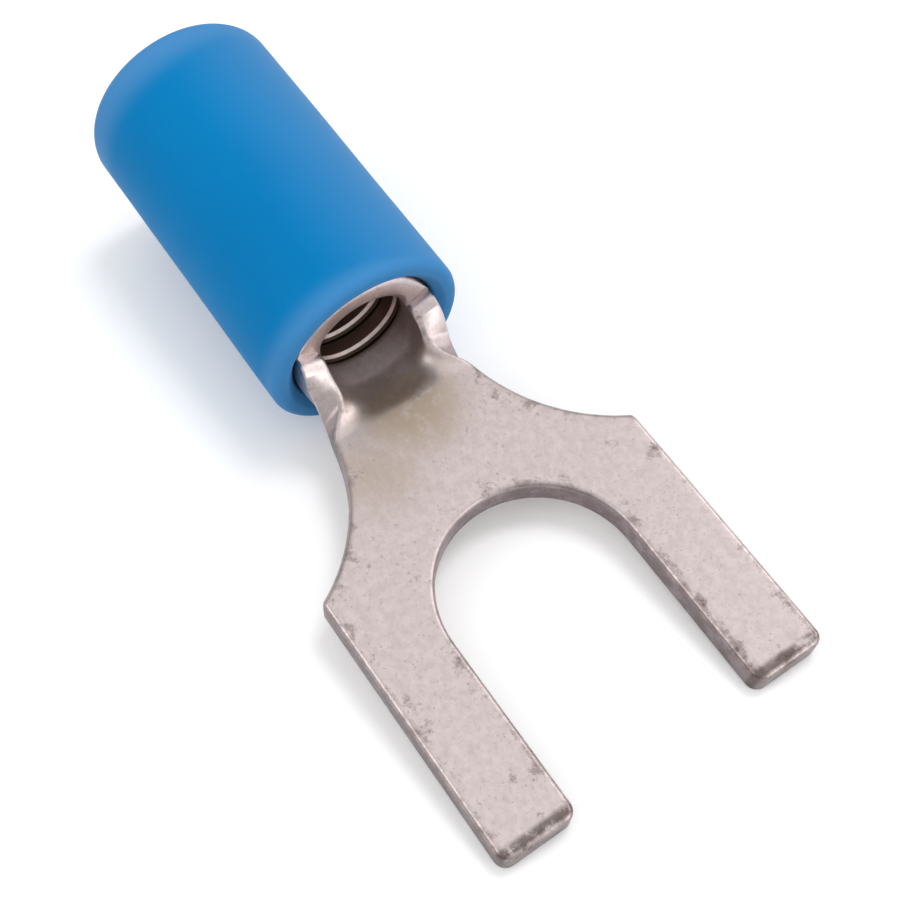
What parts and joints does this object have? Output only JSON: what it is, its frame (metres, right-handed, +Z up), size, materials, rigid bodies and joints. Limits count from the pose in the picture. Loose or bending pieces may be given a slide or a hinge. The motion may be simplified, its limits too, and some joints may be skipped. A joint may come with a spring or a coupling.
{
  "type": "fork terminal",
  "caption": "Insulated crimp fork terminal: flat open-ended tongue that slides under a screw, waisted neck, rolled wire barrel and a plain vinyl insulating sleeve.",
  "frame": {"origin": "centre of the stud slot on the tongue's underside", "axes": "+X along the terminal to the tips of the fork, +Z up through the tongue, square to its faces"},
  "size_m": [0.0282, 0.012, 0.0071],
  "materials": {
    "tinned_copper": "satin tin plate over copper, faintly mottled",
    "vinyl": "soft-sheen blue vinyl"
  },
  "bodies": {
    "root": {"terminal": "tinned_copper", "insulating_sleeve": "vinyl"}
  },
  "joints": []
}
